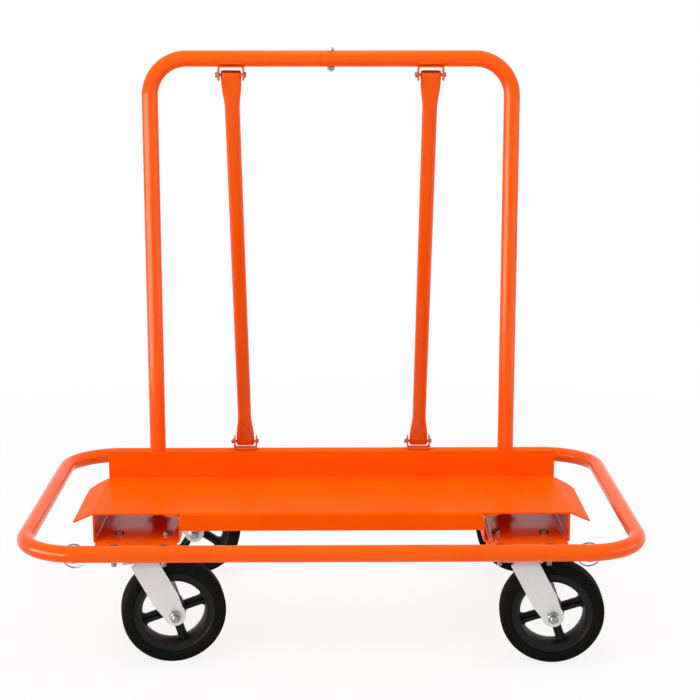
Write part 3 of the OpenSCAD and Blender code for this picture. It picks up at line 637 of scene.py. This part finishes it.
def makeWheelCore():
    bm = bmesh.new()
    bm.from_mesh(webMesh())
    w, e, out = core["rimHalf"], core["bossHalf"], core["boss"] + core["overlap"]
    upper = [(core["rim"] - back, w - dip, ease) for back, dip, ease in core["rimLip"]]
    upper += [(core["bore"] + step, w - dip, ease) for step, dip, ease in core["boreLip"]]
    upper.append((core["waist"], core["waistHalf"], core["waistEase"]))
    lower = mirrored(upper)
    lathe(bm, roundedOutline(lower[-1:] + upper + lower[:-1], 3), 128)
    upper = [(out, core["spokeHalf"], core["bossEase"]), (core["boss"] - core["bossTaper"], e, core["bossEase"]),
             (core["bush"], e, core["bushEase"])]
    lathe(bm, roundedOutline(mirrored(upper) + upper, 4), 64)
    rib = roundedOutline([(sx * core["rib"], sy * core["ribHalf"], core["ribEase"])
                          for sx, sy in ((-1, -1), (1, -1), (1, 1), (-1, 1))], 3)
    for k in range(core["spokes"]):
        swing = Matrix.Rotation(math.pi / 2 * k, 4, "Z")
        root, tip = [[bm.verts.new(swing @ Vector((along, p.x, p.y))) for p in rib]
                     for along in (core["boss"] - core["ribRoot"], core["bore"] + core["ribTip"])]
        bridge(bm, root, tip)
        bm.faces.new(list(reversed(root)))
        bm.faces.new(tip)
    return bm


def makeTyre():
    h, r, s = tyre["half"], tyre["radius"], tyre["shoulder"]
    side = [(tyre["bore"] + step, h - dip, ease) for step, dip, ease in tyre["bead"]]
    side += [(r - s - back, h - dip, ease) for back, dip, ease in tyre["groove"]]
    arc = []
    for k in range(9):
        a = math.pi / 2 * k / 8
        arc.append(Vector((r - s + s * math.sin(a), h - s + s * math.cos(a))))
    upper = roundedOutline(side, 3) + arc[1:] + [Vector((r + rise, y)) for rise, y in tyre["line"]]
    lower = [Vector((p.x, -p.y)) for p in reversed(upper)]
    bm = bmesh.new()
    lathe(bm, upper + lower, 144)
    return bm


def placedCopy(bm, name, matrix, angle):
    copy = bm.copy()
    bmesh.ops.transform(copy, matrix=matrix, verts=copy.verts)
    return meshPiece(name, copy, angle)


def makeCastors():
    coreShape, tyreShape = makeWheelCore(), makeTyre()
    for corner, (name, x, y, turn, steer) in castor["corners"].items():
        onAxle = (Matrix.Translation((x, y, castor["axleZ"])) @ Matrix.Rotation(math.radians(steer), 4, "Z")
                  @ Matrix.Translation((castor["trail"], 0, 0)) @ Matrix.Rotation(math.pi / 2, 4, "X")
                  @ Matrix.Rotation(math.radians(turn), 4, "Z"))
        hub, tread, fork, plate = [corner + part for part in ("_hub", "_tyre", "_fork", "_plate")]
        wheel, swivel = corner + "_wheel", corner + "_castor"
        finishPiece(placedCopy(coreShape, name + "Core", onAxle, core["sharp"]), blackCore, wheel, [hub])
        finishPiece(placedCopy(tyreShape, name + "Tyre", onAxle, tyre["sharp"]), tyreRubber, wheel, [tread])
        finishPiece(easedCopy(fork, name + "Fork", castor["forkEdge"]), zincPlate, swivel, [fork])
        finishPiece(easedCopy(plate, name + "Plate", castor["plateEdge"]), zincPlate, "frame", [plate])
    coreShape.free()
    tyreShape.free()


makeCastors()
print("castors")


# fasteners: hexagon heads and nuts with the corners turned off, shanks with thread rings
hexagon = {"across": 1.85, "head": 0.65, "washer": 0.96, "washerHigh": 0.0004, "chamfer": 0.95, "chamferTurn": 30,
           "dish": 0.70, "dishFloor": 0.66, "dishDeep": 0.0004, "mouth": 1.12, "throat": 0.99,
           "mouthDeep": 0.0008, "around": 48, "sharp": 28, "spin": 6.28}  # shares of the bolt's or the head's size
thread = {"from": 0.6, "pitch": 0.14, "leastPitch": 0.0011, "crest": (0.97, 0.0001, 0.35), "root": (0.90, 0.55),
          "spare": 0.0012, "point": 0.0010, "pointShare": 0.82}


def hexRing(bm, corner, flat, z, lift):
    outer, top = [], []
    half = corner * math.cos(math.pi / 6)
    for k in range(hexagon["around"]):
        a = 2 * math.pi * k / hexagon["around"]
        r = half / math.cos((a % (math.pi / 3)) - math.pi / 6)
        drop = max(0, r - flat) * math.tan(math.radians(hexagon["chamferTurn"])) * lift
        outer.append(bm.verts.new((r * math.cos(a), r * math.sin(a), z - drop)))
        top.append(bm.verts.new((flat * math.cos(a), flat * math.sin(a), z)))
    return outer, top


def plainRing(bm, radius, z):
    return [bm.verts.new((x, y, z)) for x, y in circleLine(radius, hexagon["around"])]


def threadRings(bm, radius, top, bottom, pitch):
    crest, more, crestAt = thread["crest"]
    root, rootAt = thread["root"]
    rings = [plainRing(bm, radius, top)]
    z = top
    while z - pitch > bottom + thread["spare"]:
        rings.append(plainRing(bm, radius * crest + more, z - pitch * crestAt))
        rings.append(plainRing(bm, radius * root, z - pitch * rootAt))
        rings.append(plainRing(bm, radius, z - pitch))
        z -= pitch
    rings.append(plainRing(bm, radius, bottom + thread["point"]))
    rings.append(plainRing(bm, radius * thread["pointShare"], bottom))
    return rings


def makeBolt(size):
    d, grip, step = size["d"], size["grip"], hexagon["washerHigh"]
    corner, head = hexagon["across"] * d / 2, hexagon["head"] * d
    half = corner * math.cos(math.pi / 6)
    bm = bmesh.new()
    seat = plainRing(bm, half * hexagon["washer"], 0)
    collar = plainRing(bm, half * hexagon["washer"], step)
    bottom = [bm.verts.new((v.co.x, v.co.y, step)) for v in hexRing(bm, corner, corner, step, 0)[0]]
    outer, top = hexRing(bm, corner, half * hexagon["chamfer"], head, 1)
    dish = plainRing(bm, half * hexagon["dish"], head)
    deep = plainRing(bm, half * hexagon["dishFloor"], head - hexagon["dishDeep"])
    for low, high in ((seat, collar), (collar, bottom), (bottom, outer), (outer, top), (top, dish), (dish, deep)):
        bridge(bm, low, high)
    bm.faces.new(deep)
    rings = threadRings(bm, d / 2, -grip * thread["from"], -(grip + size["nut"] + size["tail"]),
                        max(d * thread["pitch"], thread["leastPitch"]))
    stem = plainRing(bm, d / 2, 0)
    bridge(bm, rings[0], stem)
    bridge(bm, stem, seat)
    for high, low in zip(rings, rings[1:]):
        bridge(bm, low, high)
    bm.faces.new(list(reversed(rings[-1])))
    loose = [v for v in bm.verts if not v.link_faces]
    bmesh.ops.delete(bm, geom=loose, context="VERTS")
    return meshPiece("boltShape", bm, hexagon["sharp"])


def makeNut(size):
    d, grip, high = size["d"], size["grip"], size["nut"]
    corner = hexagon["across"] * d / 2
    half = corner * math.cos(math.pi / 6)
    bm = bmesh.new()
    outer, top = hexRing(bm, corner, half * hexagon["chamfer"], -grip, 1)
    lower, under = hexRing(bm, corner, half * hexagon["chamfer"], grip + high, 1)
    for v in lower + under:
        v.co.z *= -1
    wide, narrow, deep = d / 2 * hexagon["mouth"], d / 2 * hexagon["throat"], hexagon["mouthDeep"]
    mouth = plainRing(bm, wide, -grip)
    throat = plainRing(bm, narrow, -grip - deep)
    neck = plainRing(bm, narrow, -grip - high + deep)
    mouthOut = plainRing(bm, wide, -grip - high)
    for low, up in ((under, lower), (lower, outer), (outer, top), (top, mouth), (mouth, throat),
                    (throat, neck), (neck, mouthOut), (mouthOut, under)):
        bridge(bm, low, up)
    return meshPiece("nutShape", bm, hexagon["sharp"])


# one fastener at each point, turned by the point's own turn and spun at random about its axis
def makeFastenerTree():
    tree, use = newTree("fastenerSet", [("Fastener", "Object"), ("Spin", "Float"), ("Seed", "Int")])
    points = addNode(tree, "GeometryNodeMeshToPoints", None, {"Mesh": use["Geometry"]})
    shape = addNode(tree, "GeometryNodeObjectInfo", None,
                    {"Object": use["Fastener"], "As Instance": True}, out=4)
    turn = addNode(tree, "GeometryNodeInputNamedAttribute", {"data_type": "FLOAT_VECTOR"}, {"Name": "turn"})
    facing = addNode(tree, "FunctionNodeEulerToRotation", None, {0: turn})
    spin = addNode(tree, "FunctionNodeRandomValue", {"data_type": "FLOAT"},
                   {2: 0.0, 3: use["Spin"], "Seed": use["Seed"]}, out=1)
    about = addNode(tree, "FunctionNodeAxisAngleToRotation", None, {"Axis": (0, 0, 1), "Angle": spin})
    both = addNode(tree, "FunctionNodeRotateRotation", {"rotation_space": "LOCAL"}, {0: facing, 1: about})
    placed = addNode(tree, "GeometryNodeInstanceOnPoints", None,
                     {"Points": points, "Instance": shape, "Rotation": both})
    return closeTree(tree, placed, use, smooth=False)


fastenerTree = makeFastenerTree()


def fastenerSet(name, shape, places, body, node, seed):
    obj = growPiece(name, fastenerTree, [p for p, turn in places], [],
                    {"Fastener": shape, "Spin": hexagon["spin"], "Seed": seed, "Material": fastenerZinc},
                    [turn for p, turn in places])
    return finishPiece(obj, fastenerZinc, body, [node])


def dropShapes(*shapes):
    for shape in shapes:
        bpy.data.objects.remove(shape)


quarter = math.pi / 2
castorBolts = {"d": 0.010, "grip": 0.009, "tail": 0.018, "nut": 0.008, "stepX": 0.047, "stepY": 0.044,
               "z": 0.2388, "seed": 3}
strutBolts = {"d": 0.006, "grip": 0.052, "tail": 0.0018, "nut": 0.0048, "reach": 0.026, "seed": 5}
handleBolts = {"d": 0.008, "grip": 0.032, "tail": 0.0024, "nut": 0.0064, "footRise": 0.040}
axleBolts = {"d": 0.012, "grip": 0.078, "tail": 0.0072, "nut": 0.0144, "boltSeed": 11, "nutSeed": 31}
nutSeedStep = 20


def makeFrameFasteners():
    plates = [((x + sx * castorBolts["stepX"], y + sy * castorBolts["stepY"], castorBolts["z"]), (0, 0, 0))
              for name, x, y, turn, steer in castor["corners"].values() for sx in (-1, 1) for sy in (-1, 1)]
    ends = [((s * strut["x"] + strutBolts["reach"], y, z), (0, quarter, 0)) for s in (-1, 1)
            for y, z in ((strut["footY"], strut["footZ"]), (0, strut["topZ"]))]
    for label, size, spots in (("castor", castorBolts, plates), ("strut", strutBolts, ends)):
        bolt, nut = makeBolt(size), makeNut(size)
        fastenerSet(label + "Bolts", bolt, spots, "frame", label + "_bolts", size["seed"])
        fastenerSet(label + "Nuts", nut, spots, "frame", label + "_nuts", size["seed"] + nutSeedStep)
        dropShapes(bolt, nut)
    top = [((0, 0, handle["bar"] + handle["tube"]), (0, 0, 0))]
    footX, footZ = handle["leg"] - handle["tube"], handle["foot"] + handleBolts["footRise"]
    feet = [((s * footX, 0, footZ), (0, -quarter * s, 0)) for s in (-1, 1)]
    bolt, nut = makeBolt(handleBolts), makeNut(handleBolts)
    fastenerSet("handleBolt", bolt, top, "frame", "handle_bolt", 7)
    fastenerSet("footBolts", bolt, feet, "frame", "foot_bolts", 8)
    fastenerSet("handleNuts", nut, top + feet, "frame", "handle_nuts", 9)
    dropShapes(bolt, nut)


def makeAxleFasteners():
    bolt, nut = makeBolt(axleBolts), makeNut(axleBolts)
    for i, (corner, (name, x, y, turn, steer)) in enumerate(castor["corners"].items()):
        swing = Matrix.Rotation(math.radians(steer), 3, "Z")
        at = Vector((x, y, castor["axleZ"])) + swing @ Vector((castor["trail"], axleBolts["grip"] / 2, 0))
        spot = [(at, (-quarter, 0, math.radians(steer)))]
        swivel = corner + "_castor"
        fastenerSet(name + "AxleBolt", bolt, spot, swivel, corner + "_axle_bolt", axleBolts["boltSeed"] + i)
        fastenerSet(name + "AxleNut", nut, spot, swivel, corner + "_axle_nut", axleBolts["nutSeed"] + i)
    dropShapes(bolt, nut)


makeFrameFasteners()
makeAxleFasteners()
print("fasteners")


# weld beads, painted over: a thick line whose radius swells once for each drop of metal
bead = {"pitch": 0.0034, "wander": 0.0012, "dropSteps": 5, "dropSize": (0.9, 1.08), "swell": 0.2, "least": 0.85,
        "driftScale": 90.0, "around": 10}
channelBead = {"x": (0.307, 0.437), "above": (0.3380, 0.2395), "below": (0.3400, 0.2352), "radius": 0.0022}
bracketBead = {"half": 0.022, "off": 0.0144, "barZ": 1.1312, "railZ": 0.2524, "radius": 0.0017}
deckBead = {"x": 0.4557, "z": 0.2905, "y": (-0.225, -0.140, -0.055), "half": 0.02, "radius": 0.0018,
            "legStep": 0.0075, "legY": -0.0150, "legZ": (0.300, 0.346)}
lugBead = {"x": 0.4825, "off": 0.0044, "radius": 0.0015,
           "line": ((-0.3412, 0.2335), (-0.3392, 0.2370), (-0.3380, 0.2400))}


def makeBeadTree():
    tree, use = newTree("weldBead", [("Bead Radius", "Float"), ("Drop Pitch", "Float"), ("Wander", "Float"),
                                     ("Seed", "Int")])
    steps, (small, large) = bead["dropSteps"], bead["dropSize"]
    line = addNode(tree, "GeometryNodeMeshToCurve", None, {"Mesh": use["Geometry"]})
    fine = addNode(tree, "GeometryNodeResampleCurve", {"mode": "LENGTH"},
                   {"Curve": line, "Length": use["Drop Pitch"] / steps})
    index = addNode(tree, "GeometryNodeInputIndex")
    drop = index.math("ABSOLUTE", index.math("SINE", index * (math.pi / steps)))
    size = addNode(tree, "FunctionNodeRandomValue", {"data_type": "FLOAT"},
                   {2: small, 3: large, "Seed": use["Seed"]}, out=1)
    swollen = addNode(tree, "GeometryNodeSetCurveRadius", None,
                      {"Curve": fine, "Radius": (drop * bead["swell"] + bead["least"]) * size})
    here = addNode(tree, "GeometryNodeInputPosition")
    drift = addNode(tree, "ShaderNodeTexNoise", None, {"Vector": here, "Scale": bead["driftScale"]}, out=1)
    offset = addNode(tree, "ShaderNodeVectorMath", {"operation": "SUBTRACT"}, {0: drift, 1: (0.5, 0.5, 0.5)})
    offset = addNode(tree, "ShaderNodeVectorMath", {"operation": "SCALE"}, {0: offset, "Scale": use["Wander"]})
    moved = addNode(tree, "GeometryNodeSetPosition", None, {"Geometry": swollen, "Offset": offset})
    ring = addNode(tree, "GeometryNodeCurvePrimitiveCircle", {"mode": "RADIUS"},
                   {"Resolution": bead["around"], "Radius": use["Bead Radius"]})
    made = addNode(tree, "GeometryNodeCurveToMesh", None,
                   {"Curve": moved, "Profile Curve": ring, "Fill Caps": True})
    return closeTree(tree, made, use)


beadTree = makeBeadTree()


def beadPiece(name, runs, seed, radius):
    points, edges = [], []
    for run in runs:
        edges += lineEdges(len(run), len(points))
        points += run
    obj = growPiece(name, beadTree, points, edges,
                    {"Bead Radius": radius, "Drop Pitch": bead["pitch"], "Wander": bead["wander"],
                     "Seed": seed, "Material": orangePaint})
    return finishPiece(obj, orangePaint, "frame")


def makeBeads():
    bothWays = [(sx, sy) for sx in (-1, 1) for sy in (-1, 1)]
    runs = []
    for sx, sy in bothWays:  # channel floors to the rails, above and below
        for y, z in (channelBead["above"], channelBead["below"]):
            runs.append([(sx * x, sy * y, z) for x in channelBead["x"]])
    beadPiece("channelBeads", runs, 2, channelBead["radius"])
    runs = []
    for sx, sy in bothWays:  # brackets to the top bar and the rear rail
        for y, z in ((0, bracketBead["barZ"]), (strut["footY"], bracketBead["railZ"])):
            runs.append([(sx * strut["x"] + end * bracketBead["half"], y + sy * bracketBead["off"], z)
                         for end in (-1, 1)])
    beadPiece("bracketBeads", runs, 3, bracketBead["radius"])
    runs = []
    for sx in (-1, 1):  # deck to the channels' outer walls, legs to the upstand
        for y in deckBead["y"]:
            runs.append([(sx * deckBead["x"], y + end * deckBead["half"], deckBead["z"]) for end in (-1, 1)])
        for step in (-1, 1):
            x = sx * handle["leg"] + step * deckBead["legStep"]
            runs.append([(x, deckBead["legY"], z) for z in deckBead["legZ"]])
    beadPiece("deckBeads", runs, 4, deckBead["radius"])
    runs = []
    for sx, side in bothWays:  # lugs to the front rail
        x = sx * lugBead["x"] + side * lugBead["off"]
        runs.append([(x, y, z) for y, z in lugBead["line"]])
    beadPiece("lugBeads", runs, 6, lugBead["radius"])


makeBeads()
print("weld beads")


# CAD nodes that stay as they are
kept = {"handle_spigots": orangePaint}
for corner in castor["corners"]:
    kept[corner + "_balls"] = brightSteel
    kept[corner + "_kingpin"] = zincPlate
    kept[corner + "_bearing"] = brightSteel
for node, mat in kept.items():
    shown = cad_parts[node]
    if not shown.material_slots:
        shown.data.materials.append(mat)
    for slot in shown.material_slots:
        slot.material = mat
print("kept CAD nodes")


# floor and world: both are white to the camera and in metal and glass
white = (1, 1, 1, 1)
stage = {"floor": 9, "drop": -0.0006, "white": 0.86, "fade": (1.3, 2.6), "tone": 3,
         "tones": ((0.86, 0.86, 0.86, 1), (0.9, 0.9, 0.9, 1)), "skyLight": (0.66, 0.66, 0.66, 1)}


def whiteRays(tree):
    path = tree.nodes.new("ShaderNodeLightPath")
    seen = Wire(tree, path.outputs["Is Camera Ray"]) + Wire(tree, path.outputs["Is Transmission Ray"])
    return seen.math("MINIMUM", seen + Wire(tree, path.outputs["Is Glossy Ray"]), 1.0)


def makeFloor():
    bm = bmesh.new()
    bmesh.ops.create_grid(bm, x_segments=2, y_segments=2, size=stage["floor"])
    obj = meshPiece("studioFloor", bm)
    obj.data.transform(Matrix.Translation((0, 0, stage["drop"])))
    mat, tree = newFinish("paleFloor")
    place = objectPlace(tree)
    far = addNode(tree, "ShaderNodeVectorMath", {"operation": "LENGTH"}, {0: place}, out=1)
    near = stage["white"]  # the rest of it near the object is matt and shows the shadow
    share = whiteRays(tree) * (near + (1 - near) * ramp(tree, far, *stage["fade"]))
    tone = blendColour(tree, noise(tree, place, stage["tone"], 2), *stage["tones"])
    matt = addNode(tree, "ShaderNodeBsdfDiffuse", None, {"Color": tone})
    glow = addNode(tree, "ShaderNodeEmission", None, {"Color": white, "Strength": 1.0})
    both = addNode(tree, "ShaderNodeMixShader", None, {0: share, 1: matt, 2: glow})
    addNode(tree, "ShaderNodeOutputMaterial", None, {"Surface": both})
    obj.data.materials.append(mat)


def makeWorld():
    world = bpy.data.worlds.new("studio")
    world.use_nodes = True
    tree = world.node_tree
    tree.nodes.clear()
    glow = blendColour(tree, whiteRays(tree), stage["skyLight"], white)
    sky = addNode(tree, "ShaderNodeBackground", None, {"Color": glow, "Strength": 1.0})
    addNode(tree, "ShaderNodeOutputWorld", None, {"Surface": sky})
    scene.world = world


# the soft boxes light the object, the panels show only as reflections in paint and metal
softColour, panelColour = (1, 1, 1), (1, 0.95, 0.74)
lamps = {"keySoft": {"at": (-1.3, -1.7, 3.2), "aim": (0, 0, 0.45), "wide": 2.4, "tall": 2.4, "power": 48},
         "topSoft": {"at": (0.5, 0.1, 3.4), "aim": (0, 0, 0.3), "wide": 2.8, "tall": 2.8, "power": 32},
         "leftPanel": {"at": (-2.18, -1.42, 0.5), "aim": (0, 0, 0.5), "wide": 3.2, "tall": 1.15, "power": 190},
         "rightPanel": {"at": (2.44, -0.89, 0.5), "aim": (0, 0, 0.5), "wide": 2.8, "tall": 1.15, "power": 26},
         "leftLowPanel": {"at": (-1.5, 0.1, 0.02), "aim": (0, 0.1, 0.9), "wide": 2.4, "tall": 1.0, "power": 5},
         "rightLowPanel": {"at": (1.5, 0.1, 0.02), "aim": (0, 0.1, 0.9), "wide": 2.4, "tall": 1.0, "power": 5}}


def makeLamps():
    for name, lamp in lamps.items():
        panel = name.endswith("Panel")
        data = bpy.data.lights.new(name, "AREA")
        data.shape = "RECTANGLE"
        data.size = lamp["wide"]
        data.size_y = lamp["tall"]
        data.energy = lamp["power"]
        data.color = panelColour if panel else softColour
        obj = linkObject(name, data)
        obj.visible_diffuse = not panel
        obj.visible_glossy = panel
        obj.location = lamp["at"]
        facing = Vector(lamp["aim"]) - Vector(lamp["at"])
        obj.rotation_euler = facing.to_track_quat("-Z", "Y").to_euler()


view = {"at": (0.0039, -3.2995, 1.2271), "turn": (78.53, 0, -0.58), "lens": 85.41, "sensor": 36}


def makeCamera():
    data = bpy.data.cameras.new("view")
    data.lens = view["lens"]
    data.sensor_width = view["sensor"]
    obj = linkObject("view", data)
    obj.location = view["at"]
    obj.rotation_euler = [math.radians(a) for a in view["turn"]]
    scene.camera = obj


makeFloor()
makeWorld()
makeLamps()
makeCamera()
print("floor, light and camera")
